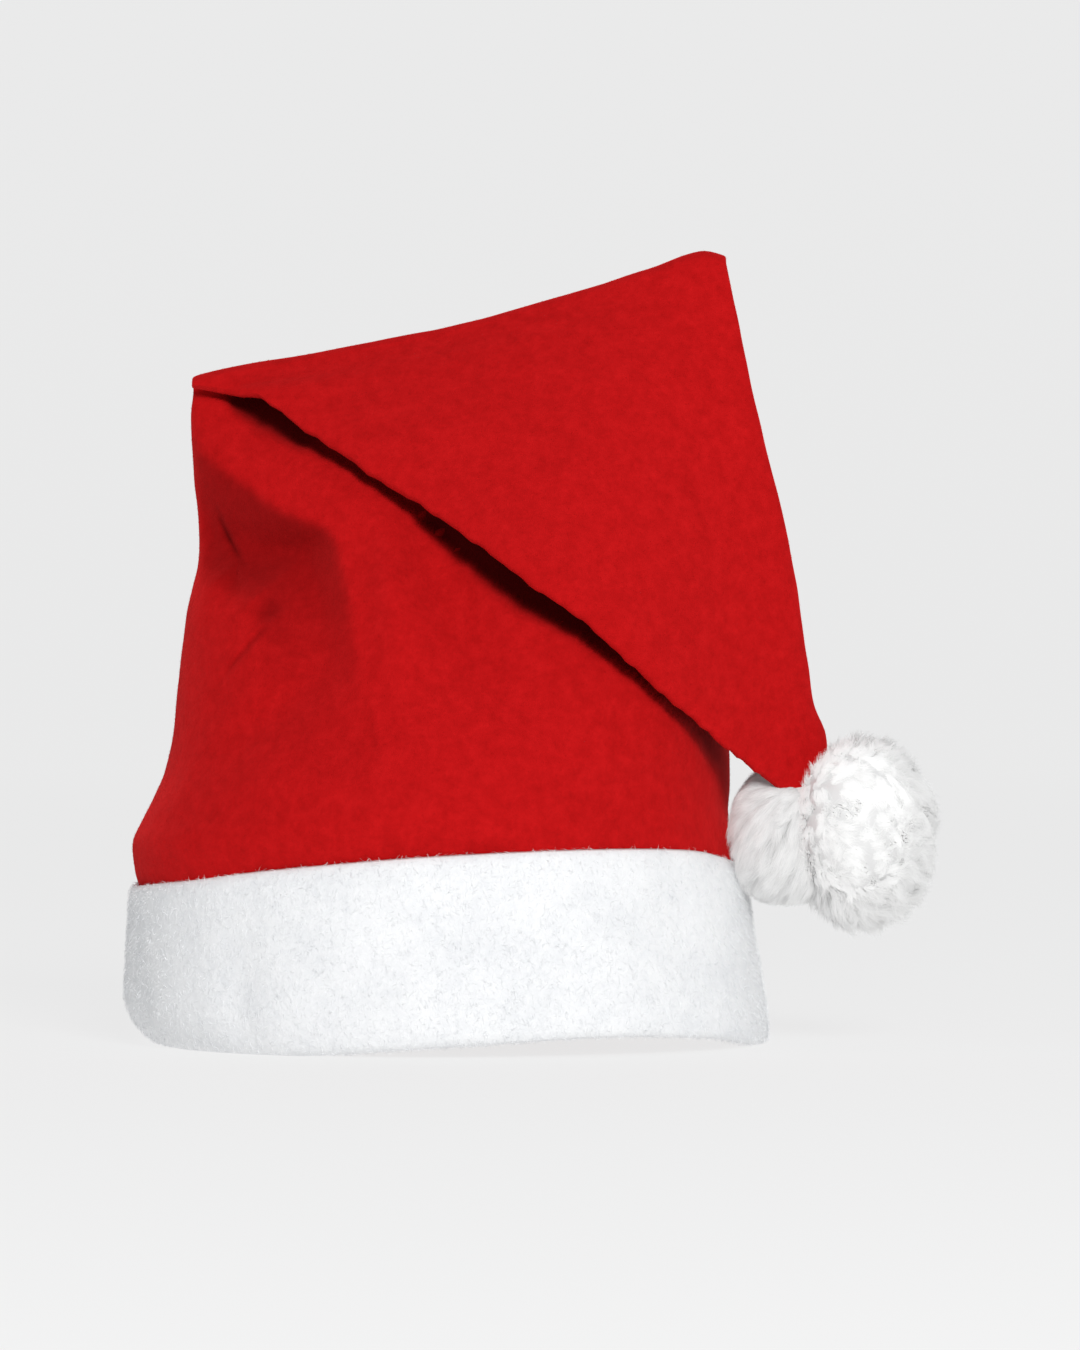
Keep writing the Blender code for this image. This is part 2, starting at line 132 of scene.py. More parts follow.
BodyRow = namedtuple("BodyRow", "up left right depth square")
BODY = (
    BodyRow(0.000, 0.000, 0.000, 0.953, 2.0),
    BodyRow(0.030, 0.018, -0.008, 0.974, 2.0),
    BodyRow(0.085, 0.036, -0.026, 0.985, 2.0),
    BodyRow(0.130, 0.015, -0.020, 0.960, 2.0),
    BodyRow(0.175, -0.016, -0.021, 0.930, 2.1),
    BodyRow(0.230, -0.046, -0.022, 0.892, 2.1),
    BodyRow(0.300, -0.060, -0.024, 0.838, 2.1),
    BodyRow(0.410, -0.055, -0.026, 0.745, 2.1),
    BodyRow(0.550, -0.059, -0.027, 0.613, 2.2),
    BodyRow(0.600, -0.068, -0.026, 0.561, 2.2),
    BodyRow(0.650, -0.077, -0.025, 0.507, 2.2),
    BodyRow(0.720, -0.068, -0.023, 0.425, 2.3),
    BodyRow(0.830, -0.034, -0.018, 0.285, 2.5),
    BodyRow(0.950, -0.002, -0.006, 0.095, 3.2),
    BodyRow(1.000, 0.000, 0.000, 0.000, 5.0),
)

CreaseRow = namedtuple("CreaseRow", "across rise")
CREASE = (
    CreaseRow(0.00, 0.006),
    CreaseRow(0.20, -0.009),
    CreaseRow(0.40, -0.017),
    CreaseRow(0.55, -0.022),
    CreaseRow(0.68, -0.015),
    CreaseRow(0.85, -0.005),
    CreaseRow(0.95, 0.007),
    CreaseRow(1.00, -0.008),
)

FlapRow = namedtuple("FlapRow", "left_across left_down right_across right_down puff square")
FLAP = (
    FlapRow(0.000, 0.000, 1.000, 0.000, 0.0, 5.0),
    FlapRow(0.078, 0.030, 0.920, 0.086, 0.2, 4.5),
    FlapRow(0.080, 0.130, 0.837, 0.173, 0.5, 4.0),
    FlapRow(0.085, 0.240, 0.746, 0.271, 0.8, 3.5),
    FlapRow(0.088, 0.350, 0.656, 0.370, 1.0, 3.0),
    FlapRow(0.080, 0.470, 0.562, 0.476, 1.0, 2.8),
    FlapRow(0.073, 0.590, 0.470, 0.573, 1.0, 2.6),
    FlapRow(0.050, 0.700, 0.386, 0.658, 1.0, 2.5),
    FlapRow(0.028, 0.800, 0.300, 0.745, 1.0, 2.4),
    FlapRow(0.012, 0.880, 0.225, 0.820, 0.9, 2.3),
    FlapRow(0.008, 0.935, 0.178, 0.880, 0.8, 2.2),
    FlapRow(0.000, 0.990, 0.120, 0.935, 0.6, 2.0),
)

# Soft hollows and ridges of the body: where, as shares across and up; their reach along their
# own line, and over it on its lower and upper side, as shares of the half length; the line's
# turn; and how deep they press in, as a share of the half width. Ridges are negative.
Dent = namedtuple("Dent", "side across up along below above degrees depth")
DENTS = (
    Dent(-1, -0.54, 0.78, 0.32, 0.07, 0.09, -32, -0.040),
    Dent(-1, -0.22, 0.54, 0.26, 0.07, 0.08, -78, -0.040),
    Dent(-1, -0.01, 0.52, 0.34, 0.10, 0.10, -58, 0.085),
    Dent(-1, -0.60, 0.33, 0.30, 0.09, 0.09, 35, 0.050),
    Dent(-1, 0.62, 0.10, 0.26, 0.10, 0.10, 8, 0.030),
    Dent(1, -0.50, 0.42, 0.42, 0.12, 0.12, 66, 0.080),
    Dent(1, 0.10, 0.55, 0.50, 0.13, 0.13, 84, 0.060),
    Dent(1, 0.60, 0.38, 0.40, 0.12, 0.12, -64, 0.080),
)
DENT_FADE = 0.08

# The big fold at the front left: a crest, below and left of which the cloth drops away. Each
# row is a place on the crest, as shares of the half length across and the crease's height; how
# deep the cloth drops, as a share of the half width; as shares of the half length, how soon it
# has dropped and where it has come out again; and how much painted shade darkens the cloth there.
CrestRow = namedtuple("CrestRow", "at across height depth steep reach dark")
CREST = (
    CrestRow(0, -0.763, 0.838, 0.010, 0.20, 0.42, 0.46),
    CrestRow(1, -0.683, 0.811, 0.060, 0.20, 0.42, 0.50),
    CrestRow(2, -0.595, 0.784, 0.110, 0.19, 0.42, 0.52),
    CrestRow(3, -0.517, 0.759, 0.150, 0.17, 0.36, 0.52),
    CrestRow(4, -0.439, 0.743, 0.170, 0.14, 0.31, 0.54),
    CrestRow(5, -0.363, 0.729, 0.175, 0.12, 0.30, 0.54),
    CrestRow(6, -0.320, 0.705, 0.160, 0.11, 0.32, 0.48),
    CrestRow(7, -0.301, 0.674, 0.135, 0.12, 0.34, 0.36),
    CrestRow(8, -0.270, 0.622, 0.100, 0.12, 0.36, 0.24),
    CrestRow(9, -0.254, 0.568, 0.060, 0.12, 0.36, 0.20),
    CrestRow(10, -0.226, 0.499, 0.000, 0.12, 0.34, 0.00),
)

# How far the blend along the crest reaches, how soon its painted shade begins, and from what
# share of the reach it fades, over what share.
CREST_BLEND = 0.0040
CREST_SAMPLES = 200
CREST_SHADE_START = 0.005
CREST_SHADE_FROM = 0.70
CREST_SHADE_OVER = 0.34

# Thin creases and small pinches: the places of their ends and middle, as shares of the half
# length across and the crease's height; their half width and depth in shares of the half
# width; and how much painted shade darkens them.
Pinch = namedtuple("Pinch", "start middle end width depth dark")
PINCHES = (
    Pinch((-0.723, 0.751), (-0.682, 0.711), (-0.629, 0.669), 0.012, 0.016, 0.42),
    Pinch((-0.538, 0.592), (-0.610, 0.558), (-0.704, 0.507), 0.012, 0.012, 0.34),
    Pinch((-0.710, 0.660), (-0.655, 0.640), (-0.602, 0.650), 0.070, 0.060, 0.12),
    Pinch((-0.590, 0.630), (-0.554, 0.606), (-0.535, 0.592), 0.055, 0.045, 0.26),
)
PINCH_SAMPLES = 40
PINCH_ENDS = 0.08

# Along the flap's free edge, from the crease to the tip: how far it stands off the body, how
# deep the body is pressed in under it, and how far below the edge that groove and its painted
# shadow show.
EdgeRow = namedtuple("EdgeRow", "down lift groove width")
FREE_EDGE = (
    EdgeRow(0.00, 0.0000, 0.0000, 0.0010),
    EdgeRow(0.04, 0.0005, 0.0014, 0.0016),
    EdgeRow(0.09, 0.0045, 0.0080, 0.0080),
    EdgeRow(0.14, 0.0030, 0.0070, 0.0070),
    EdgeRow(0.20, 0.0018, 0.0045, 0.0034),
    EdgeRow(0.30, 0.0016, 0.0040, 0.0026),
    EdgeRow(0.37, 0.0034, 0.0065, 0.0060),
    EdgeRow(0.45, 0.0048, 0.0080, 0.0082),
    EdgeRow(0.54, 0.0026, 0.0055, 0.0050),
    EdgeRow(0.63, 0.0016, 0.0040, 0.0028),
    EdgeRow(0.73, 0.0016, 0.0040, 0.0032),
    EdgeRow(0.82, 0.0034, 0.0065, 0.0070),
    EdgeRow(0.90, 0.0020, 0.0050, 0.0050),
    EdgeRow(1.00, 0.0000, 0.0000, 0.0010),
)
EDGE_BLEND = 0.0010
EDGE_LIFTED = 0.35

# The groove under the flap's edge: from what share of its width it comes out again, and over
# what share; how far it reaches behind the edge, and from what share of that it fades. Its painted
# shadow in the same way, full where the groove is at least so wide.
GROOVE_OUT_FROM = 0.55
GROOVE_OUT_OVER = 0.95
GROOVE_BEHIND = 0.0090
GROOVE_BEHIND_FROM = 0.4
SHADE_OUT_FROM = 0.70
SHADE_OUT_OVER = 0.55
SHADE_FULL_WIDTH = 0.0045

# The front is pressed in fully from this share of the half depth on, and stays this many cloths
# apart from the back.
FRONT_FULL = 0.45
WALLS_APART = 3

# The flap's edge is uneven by this much for each of its waves, given by their turns and starts,
# and straight again near both ends. Painted shade darkens its underside fully from this share of
# the half depth on, and from this share of the way down.
EDGE_RAGGED = 0.00025
EDGE_WAVES = ((61, 1.0), (143, 0.0), (233, 2.0))
EDGE_STRAIGHT_START = 0.1
EDGE_STRAIGHT_END = 0.2
UNDER_FULL = 0.4
UNDER_FROM = 0.2

# The pompom's lobes, the front and the back of the right one and the left one: their middles
# from the pompom's own and their half sizes, as shares of its size, and how square they are.
Lobe = namedtuple("Lobe", "across toward up half_across half_toward half_up square")
LOBES = (
    Lobe(0.085, 0.170, 0.050, 0.290, 0.300, 0.395, 2.3),
    Lobe(0.140, -0.010, -0.005, 0.365, 0.340, 0.490, 2.1),
    Lobe(-0.215, -0.060, -0.010, 0.285, 0.300, 0.335, 2.4),
)


# Curves and sections.

def mix(a, b, share):
    return a + (b - a) * share


def read(rows, at):
    """A table's columns at values of its first one, on smooth curves through its rows."""
    table = np.array(rows, dtype=float)
    keys = table[:, 0]
    at = np.clip(np.asarray(at, dtype=float), keys[0], keys[-1])
    here = np.clip(np.searchsorted(keys, at, side="right") - 1, 0, len(keys) - 2)
    there = here + 1
    before, after = np.maximum(here - 1, 0), np.minimum(there + 1, len(keys) - 1)
    span = keys[there] - keys[here]
    share = ((at - keys[here]) / span)[..., None]
    start = (table[there] - table[before]) * (span / (keys[there] - keys[before]))[..., None]
    end = (table[after] - table[here]) * (span / (keys[after] - keys[here]))[..., None]
    square, cube = share ** 2, share ** 3
    found = table[here] * (2 * cube - 3 * square + 1) + table[there] * (3 * square - 2 * cube)
    found = found + start * (cube - 2 * square + share) + end * (cube - square)
    return type(rows[0])(*np.moveaxis(found, -1, 0))


def superellipse(angle, square):
    """The share across, from -1 to 1, and the share of the half depth, at an angle."""
    across = np.cos(angle)
    depth = np.maximum(0.0, 1 - np.abs(across) ** square) ** (1 / square)
    return across, np.copysign(depth, np.sin(angle))


def points_of(x, y, z):
    return np.stack(np.broadcast_arrays(x, y, z), axis=-1)


def rim_at(angle):
    return read(BAND_RIM, np.degrees(angle) % 360)


def band_top(angle):
    return BAND_HEIGHT * rim_at(angle).top


def band_points(angle, inset, up):
    """Points of the band: so far in from its outer face, and a share of the way up."""
    face, rim = read(BAND_FACE, up), rim_at(angle)
    roll = BAND_ROLL * rim.roll * np.maximum(0.0, 1 - up / ROLL_UP) ** 2
    middle = HALF_LENGTH * (face.right - face.left) / 2
    half = HALF_LENGTH * (face.right + face.left) / 2
    x = middle + (half - inset - roll) * np.cos(angle)
    y = (HALF_WIDTH * face.depth - inset - roll) * np.sin(angle)
    return points_of(x, y, mix(np.maximum(0.0, BAND_LIFT * rim.lift), band_top(angle), up))


LEFT_END, RIGHT_END, BACK = np.pi, 0.0, np.pi / 2
BASE_LEFT = band_points(LEFT_END, BAND_LIP, 1.0) * (1, 0, 1)
BASE_RIGHT = band_points(RIGHT_END, BAND_LIP, 1.0) * (1, 0, 1)
BASE_DEPTH = band_points(BACK, BAND_LIP, 1.0)[1]
CREASE_ALONG = np.array((math.cos(CREASE_SLOPE), 0, math.sin(CREASE_SLOPE)))
CREASE_MIDDLE = np.array((CREASE_SHIFT, 0, CREASE_HEIGHT))
CREASE_LEFT = CREASE_MIDDLE - CREASE_ALONG * CREASE_LENGTH / 2
CREASE_RIGHT = CREASE_MIDDLE + CREASE_ALONG * CREASE_LENGTH / 2
POMPOM_X = BASE_RIGHT[0] - POMPOM_TUCK + POMPOM_WIDTH / 2
TIP = np.array((POMPOM_X + TIP_ACROSS * POMPOM_WIDTH, 0, POMPOM_RISE + TIP_UP * POMPOM_HEIGHT))
POMPOM_SIZE = np.array((POMPOM_WIDTH, POMPOM_WIDTH, POMPOM_HEIGHT))


def crease_sag(across):
    return CREASE_LENGTH * read(CREASE, (across + 1) / 2).rise


# The crown's body, from the band up to the crease.

def body_ends(up):
    row = read(BODY, up)
    left = mix(BASE_LEFT, CREASE_LEFT, up[..., None])
    right = mix(BASE_RIGHT, CREASE_RIGHT, up[..., None])
    left[..., 0] -= HALF_LENGTH * row.left
    right[..., 0] += HALF_LENGTH * row.right
    return left, right, row


def body_half_depth(row):
    return FOLD_HALF + row.depth / BODY[0].depth * (BASE_DEPTH - FOLD_HALF)


def dented(deep, across, up):
    """How far the cloth is pressed in towards the middle of the hat."""
    pressed = np.zeros(np.broadcast(deep, across, up).shape)
    for dent in DENTS:
        dx = (across - dent.across) * HALF_LENGTH
        dz = (up - dent.up) * (CREASE_HEIGHT - BAND_HEIGHT)
        turn = math.radians(dent.degrees)
        along = (dx * math.cos(turn) + dz * math.sin(turn)) / (dent.along * HALF_LENGTH)
        over = (dz * math.cos(turn) - dx * math.sin(turn)) / HALF_LENGTH
        over = over / np.where(over > 0, dent.above, dent.below)
        pressed += (deep * dent.side > 0) * dent.depth * np.exp(-along ** 2 - over ** 2)
    fade = np.minimum(1, up / DENT_FADE) * np.minimum(1, (1 - up) / DENT_FADE)
    return HALF_WIDTH * pressed * fade * np.abs(deep)


def smooth(share):
    """0 to 1 on a soft S."""
    share = np.clip(share, 0, 1)
    return share * share * (3 - 2 * share)


def beside_line(line, x, z):
    """For places in the front view: how far they are from each point of a line, the least of
    that, and on which side: over 0 is below and left of a line that runs down to the right."""
    away = np.hypot(x[..., None] - line[:, 0], z[..., None] - line[:, 1])
    nearest = np.argmin(away, axis=-1)
    along = np.gradient(line, axis=0)[nearest]
    off = points_of(x, z, 0)[..., :2] - line[nearest]
    turned = along[..., 1] * off[..., 0] - along[..., 0] * off[..., 1]
    return away, away.min(axis=-1) * np.sign(turned)


def near_values(away, row, blend):
    """A line's values at places beside it, blended where several stretches are as near."""
    weight = np.exp((away.min(axis=-1, keepdims=True) - away) / blend)
    weight /= weight.sum(axis=-1, keepdims=True)
    return type(row)(*(weight @ column for column in row))


def free_edge_groove(x, z):
    """How deep the body is pressed in along the flap's free edge, and how dark the edge's painted
    shadow makes it there.
    """
    downs = np.linspace(0, 1, LINE_SAMPLES)
    away, below = beside_line(flap_edge(downs)[0][:, ::2], x, z)
    row = near_values(away, read(FREE_EDGE, downs), EDGE_BLEND)
    front = 1 - smooth((below / row.width - GROOVE_OUT_FROM) / GROOVE_OUT_OVER)
    behind = 1 - smooth(-below / GROOVE_BEHIND - GROOVE_BEHIND_FROM)
    dark = 1 - smooth((below / row.width - SHADE_OUT_FROM) / SHADE_OUT_OVER)
    dark = dark * np.minimum(1, row.width / SHADE_FULL_WIDTH)
    return row.groove * front * behind, dark


def big_fold(x, z):
    """How deep the cloth lies behind the crest of the big fold, and how dark painted shade makes it
    there.
    """
    row = read(CREST, np.linspace(0, CREST[-1].at, CREST_SAMPLES))
    line = np.stack([row.across * HALF_LENGTH, row.height * CREASE_HEIGHT], axis=1)
    away, inside = beside_line(line, x, z)
    row = near_values(away, row, CREST_BLEND)
    steep, reach = row.steep * HALF_LENGTH, row.reach * HALF_LENGTH
    out = 1 - smooth((inside - steep) / (reach - steep))
    dark = 1 - smooth((inside / reach - CREST_SHADE_FROM) / CREST_SHADE_OVER)
    dark = smooth(inside / CREST_SHADE_START) * dark
    return HALF_WIDTH * row.depth * smooth(inside / steep) * out, row.dark * dark


def pinches(x, z):
    """How deep the thin creases and pinches press the cloth in, and how dark painted shade makes
    them.
    """
    pressed, dark = np.zeros(x.shape), np.zeros(x.shape)
    for pinch in PINCHES:
        share = np.linspace(0, 1, PINCH_SAMPLES)[:, None]
        start, middle, end = (np.array(place) * (HALF_LENGTH, CREASE_HEIGHT)
                              for place in (pinch.start, pinch.middle, pinch.end))
        bend = 2 * middle - (start + end) / 2
        line = start * (1 - share) ** 2 + 2 * bend * share * (1 - share) + end * share ** 2
        away, off = beside_line(line, x, z)
        swell = np.sin(np.pi * np.clip(share[:, 0], PINCH_ENDS, 1 - PINCH_ENDS))
        strength = swell[away.argmin(axis=-1)]
        strength = strength * np.exp(-(off / (pinch.width * HALF_WIDTH)) ** 2)
        pressed += HALF_WIDTH * pinch.depth * strength
        dark += pinch.dark * strength
    return pressed, dark


def body_points(up, angle):
    """Points of the body, and how dark the painted shade in the hollows of its front makes each."""
    left, right, row = body_ends(up)
    across, deep = superellipse(angle, row.square)
    point = (left + right) / 2 + (right - left) / 2 * across[..., None]
    straight = mix(BASE_LEFT[2], BASE_RIGHT[2], (across + 1) / 2)
    point[..., 2] += (1 - up) ** 3 * (band_top(angle) - straight)
    point[..., 2] += up ** 3 * crease_sag(across)
    point[..., 1] = deep * (body_half_depth(row) - dented(deep, across, up))
    front = smooth(-deep / FRONT_FULL)
    groove, dark = free_edge_groove(point[..., 0], point[..., 2])
    fold, folded = big_fold(point[..., 0], point[..., 2])
    pinch, pinched = pinches(point[..., 0], point[..., 2])
    room = np.maximum(0, 2 * np.abs(deep) * body_half_depth(row) - WALLS_APART * CLOTH)
    point[..., 1] += np.minimum(front * (groove + fold + pinch), room)
    return point, front * np.clip(dark + folded + pinched, 0, 1)


def body_cover(x, z):
    """How far forward a cloth lies that is hung over the body at places in the front view."""
    low, high = np.zeros(x.shape), np.ones(x.shape)
    for _ in range(COVER_HALVINGS):
        up = (low + high) / 2
        left, right, _ = body_ends(up)
        share = (x - left[..., 0]) / (right[..., 0] - left[..., 0])
        below = mix(left[..., 2], right[..., 2], share) < z
        low, high = np.where(below, up, low), np.where(below, high, up)
    left, right, row = body_ends((low + high) / 2)
    across = 2 * (x - left[..., 0]) / (right[..., 0] - left[..., 0]) - 1
    return body_half_depth(row) / (1 + COVER_ROUND * across ** 4)


# The fold and the flap.

def fold_points(turn, angle):
    """Points of the fold: the section at the crease, swung forward about it."""
    across, deep = superellipse(angle, FLAP[0].square)
    point = CREASE_MIDDLE + CREASE_ALONG * (CREASE_LENGTH / 2 * across)[..., None]
    reach = FOLD_RADIUS + deep * FOLD_HALF
    y = -FOLD_RADIUS + reach * np.cos(turn)
    z = point[..., 2] + crease_sag(across) + reach * np.sin(turn)
    return points_of(point[..., 0], y, z)


def flap_row(down):
    keyed_row = namedtuple("KeyedRow", ("at", *FlapRow._fields))
    rows = [keyed_row(i / (len(FLAP) - 1), *row) for i, row in enumerate(FLAP)]
    return read(rows, down)


def flap_half(row):
    return mix(FOLD_HALF, FLAP_PUFF, row.puff)


def flap_edge(down):
    """The flap's left and right edge, flat in the front view."""
    row = flap_row(down)
    crease, slant = CREASE_RIGHT - CREASE_LEFT, TIP - CREASE_LEFT
    left = CREASE_LEFT + crease * row.left_across[..., None] + slant * row.left_down[..., None]
    right = CREASE_LEFT + crease * row.right_across[..., None] + slant * row.right_down[..., None]
    ragged = sum(np.sin(turns * down + start) for turns, start in EDGE_WAVES)
    straight = smooth(down / EDGE_STRAIGHT_START) * smooth((1 - down) / EDGE_STRAIGHT_END)
    left[..., 2] += EDGE_RAGGED * ragged * straight
    return left, right


def flap_middle(down, across):
    """The flap's middle surface: down from the crease, and across from -1 to 1."""
    left, right = flap_edge(down)
    row = flap_row(down)
    point = mix(left, right, ((across + 1) / 2)[..., None])
    point[..., 2] += (1 - down) ** 4 * crease_sag(np.clip(across, -1, 1))
    cover = body_cover(point[..., 0], point[..., 2])
    lift = read(FREE_EDGE, down).lift * np.exp(-((across + 1) / EDGE_LIFTED) ** 2)
    point[..., 1] = -(cover + FOLD_GAP + flap_half(row) + lift)
    return point


def flap_points(down, angle):
    """Points of the flap: its section stands square to its middle surface."""
    row = flap_row(down)
    across, deep = superellipse(angle, row.square)
    high, low = np.minimum(down + SLOPE_STEP, 1), np.maximum(down - SLOPE_STEP, 0)
    along = flap_middle(high, across) - flap_middle(low, across)
    over = flap_middle(down, across + SLOPE_STEP) - flap_middle(down, across - SLOPE_STEP)
    normal = np.cross(along, over)
    normal /= np.linalg.norm(normal, axis=-1, keepdims=True)
    return flap_middle(down, across) + normal * (deep * flap_half(row))[..., None]


def crown_angles(count):
    """Angles round the crown, closer together where its folds are."""
    fine = np.linspace(0, 2 * np.pi, ANGLE_SAMPLES, endpoint=False)
    near = np.exp(-((fine - CROWN_FOLDED) / CROWN_FOLDED_REACH) ** 2)
    passed = np.cumsum(1 + CROWN_FOLDED_SHARE * near)
    passed = (passed - passed[0]) / (passed[-1] - passed[0] + 1)
    return np.interp(np.linspace(0, 1, count, endpoint=False), passed, fine)


def crown_rings(angle, body_rings, fold_rings, flap_rings):
    """The crown's rings, from its lower edge inside the band to its tip, and their painted shade.
    """
    angle = angle[None, :]
    ups = np.linspace(0, 1, body_rings)[:, None] + 0 * angle
    body, dark = body_points(ups, angle + 0 * ups)
    foot = band_points(angle, BAND_LIP, 1 - HEM_DEPTH / BAND_HEIGHT)
    turns = np.linspace(0, FOLD_TURN, fold_rings + 1)[1:, None] + 0 * angle
    fold = fold_points(turns, angle + 0 * turns)
    downs = np.linspace(FLAP_START, 1, flap_rings)[:, None] + 0 * angle
    flap = flap_points(downs, angle + 0 * downs)
    rings = np.concatenate([foot, body, fold, flap])
    shade = np.zeros(rings.shape[:2])
    shade[1:1 + body_rings] = dark
    # Painted shade on the flap's underside, which shows in the gap under its free edge.
    under = -superellipse(angle + 0 * downs, flap_row(downs).square)[1]
    shade[-flap_rings:] = smooth(under / UNDER_FULL) * smooth(downs / UNDER_FROM)
    return rings, shade


# Meshes.

def grid_faces(rings, around):
    """Quads between rings that close on themselves."""
    row, column = np.meshgrid(np.arange(rings - 1), np.arange(around), indexing="ij")
    beside = (column + 1) % around
    corners = (row * around + column, row * around + beside)
    upper = ((row + 1) * around + beside, (row + 1) * around + column)
    return np.stack([*corners, *upper], axis=-1).reshape(-1, 4).tolist()


def mesh_piece(name, points, faces, material):
    mesh = bpy.data.meshes.new(name)
    mesh.from_pydata([tuple(point) for point in points], [], faces)
    mesh.update()
    mesh.shade_smooth()
    mesh.materials.append(material)
    piece = bpy.data.objects.new(name, mesh)
    bpy.context.scene.collection.objects.link(piece)
    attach(piece, "root")
    return piece


def face_out(piece):
    bm = bmesh.new()
    bm.from_mesh(piece.data)
    bmesh.ops.recalc_face_normals(bm, faces=bm.faces)
    bm.to_mesh(piece.data)
    bm.free()


SHIFT = np.array((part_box("band")[0][0] + HALF_LENGTH * max(row.left for row in BAND_FACE), 0, 0))


# Loose fibres.

# Loose fibres grow only where a piece's painted shade is below this.
NAP_PAINTED_SHADE = 0.3
FIBRE_TIP = 0.35
FIBRE_LENGTHS = (0.6, 1.2)
FIBRE_BEND = 0.55
FIBRE_FLATTER = 0.35
FIBRE_SINK = 0.0001


def scatter(piece, count, seed):
    """Points spread evenly over a piece's faces, but not where painted shade darkens them, and the
    normals there.
    """
    rng = np.random.default_rng(seed)
    mesh = piece.data
    mesh.calc_loop_triangles()
    corners = np.empty(len(mesh.loop_triangles) * 3, dtype=np.int32)
    mesh.loop_triangles.foreach_get("vertices", corners)
    corners = corners.reshape(-1, 3)
    places = np.empty(len(mesh.vertices) * 3)
    mesh.vertices.foreach_get("co", places)
    places = places.reshape(-1, 3)
    a, b, c = (places[corners[:, k]] for k in range(3))
    normals = np.cross(b - a, c - a)
    areas = np.linalg.norm(normals, axis=1)
    wanted = areas.copy()
    if "painted_shade" in mesh.attributes:
        painted_shade = np.empty(len(mesh.vertices))
        mesh.attributes["painted_shade"].data.foreach_get("value", painted_shade)
        wanted *= painted_shade[corners[:, 0]] < NAP_PAINTED_SHADE
    chosen = rng.choice(len(areas), size=count, p=wanted / wanted.sum())
    u, v = rng.random(count), rng.random(count)
    folded = u + v > 1
    u, v = np.where(folded, 1 - u, u)[:, None], np.where(folded, 1 - v, v)[:, None]
    found = a[chosen] * (1 - u - v) + b[chosen] * u + c[chosen] * v
    return found, normals[chosen] / areas[chosen][:, None]


def unit(vectors):
    return vectors / np.maximum(np.linalg.norm(vectors, axis=-1, keepdims=True), 1e-12)


def set_painted_shade(piece, values):
    """Keeps at each point how dark painted shade makes it, which the materials read."""
    painted_shade = piece.data.attributes.new("painted_shade", "FLOAT", "POINT")
    painted_shade.data.foreach_set("value", np.ascontiguousarray(values, dtype=float).ravel())


def fibre_piece(name, knots, width, material, seed, faced=None, dark=None):
    """Flat fibres that narrow along their knots: an array of fibres by knots by 3. Where the
    ways that they face are given, they turn that way and are shaded so, as one soft pile."""
    rng = np.random.default_rng(seed)
    count, steps, _ = knots.shape
    along = unit(knots[:, -1] - knots[:, 0])
    sideways = unit(np.cross(rng.normal(size=(count, 3)) if faced is None else faced, along))
    taper = np.linspace(1.0, FIBRE_TIP, steps - 1)[None, :, None] * width / 2
    left = knots[:, :-1] - sideways[:, None] * taper
    right = knots[:, :-1] + sideways[:, None] * taper
    points = np.concatenate([left, right, knots[:, -1:]], axis=1)
    per = points.shape[1]
    rung = np.arange(steps - 2)
    quads = np.stack([rung, rung + 1, rung + steps, rung + steps - 1], axis=1)
    first = (np.arange(count) * per)[:, None, None]
    faces = (quads[None] + first).reshape(-1, 4).tolist()
    end = np.array([steps - 2, per - 1, 2 * steps - 3])
    faces += (end[None] + first[:, 0]).tolist()
    piece = mesh_piece(name, points.reshape(-1, 3), faces, material)
    if faced is not None:
        piece.data.normals_split_custom_set_from_vertices(np.repeat(faced, per, axis=0).tolist())
    # Painted shade at the fibres' knots, which the material mixes in.
    if dark is not None:
        set_painted_shade(piece, np.concatenate([dark[:, :-1], dark[:, :-1], dark[:, -1:]], axis=1))
    return piece


def lying_fibres(roots, normals, length, rise, seed, comb):
    """Knots of short fibres that lie along a surface and rise a little off it."""
    rng = np.random.default_rng(seed)
    loose = rng.normal(size=roots.shape) + np.array(comb)
    flat = unit(loose - normals * np.sum(loose * normals, axis=1, keepdims=True))
    reach = length * rng.uniform(*FIBRE_LENGTHS, size=(len(roots), 1))
    middle = roots + reach * FIBRE_BEND * unit(flat + normals * rise)
    end = middle + reach * (1 - FIBRE_BEND) * unit(flat + normals * rise * FIBRE_FLATTER)
    return np.stack([roots - normals * FIBRE_SINK, middle, end], axis=1)


# Materials.

def new_material(name):
    material = bpy.data.materials.new(name)
    material.use_nodes = True
    nodes, links = material.node_tree.nodes, material.node_tree.links
    shader = nodes["Principled BSDF"]
    place = nodes.new("ShaderNodeTexCoord").outputs["Object"]
    return material, nodes, links, shader, place


def noise_node(nodes, links, place, scale, detail=3.0, roughness=0.6):
    node = nodes.new("ShaderNodeTexNoise")
    node.inputs["Scale"].default_value = scale
    node.inputs["Detail"].default_value = detail
    node.inputs["Roughness"].default_value = roughness
    links.new(place, node.inputs["Vector"])
    return node.outputs["Fac"]


def ramp_node(nodes, links, value, stops):
    node = nodes.new("ShaderNodeValToRGB")
    ramp = node.color_ramp
    ramp.elements[0].position, ramp.elements[1].position = stops[0][0], stops[-1][0]
    ramp.elements[0].color, ramp.elements[1].color = (*stops[0][1], 1), (*stops[-1][1], 1)
    for position, colour in stops[1:-1]:
        ramp.elements.new(position).color = (*colour, 1)
    links.new(value, node.inputs["Fac"])
    return node.outputs["Color"]


def math_node(nodes, links, operation, first, second):
    node = nodes.new("ShaderNodeMath")
    node.operation = operation
    for socket, value in zip(node.inputs, (first, second)):
        if isinstance(value, float):
            socket.default_value = value
        else:
            links.new(value, socket)
    return node.outputs["Value"]


def bump_node(nodes, links, height, distance, strength, after=None):
    node = nodes.new("ShaderNodeBump")
    node.inputs["Distance"].default_value = distance
    node.inputs["Strength"].default_value = strength
    links.new(height, node.inputs["Height"])
    if after is not None:
        links.new(after, node.inputs["Normal"])
    return node.outputs["Normal"]


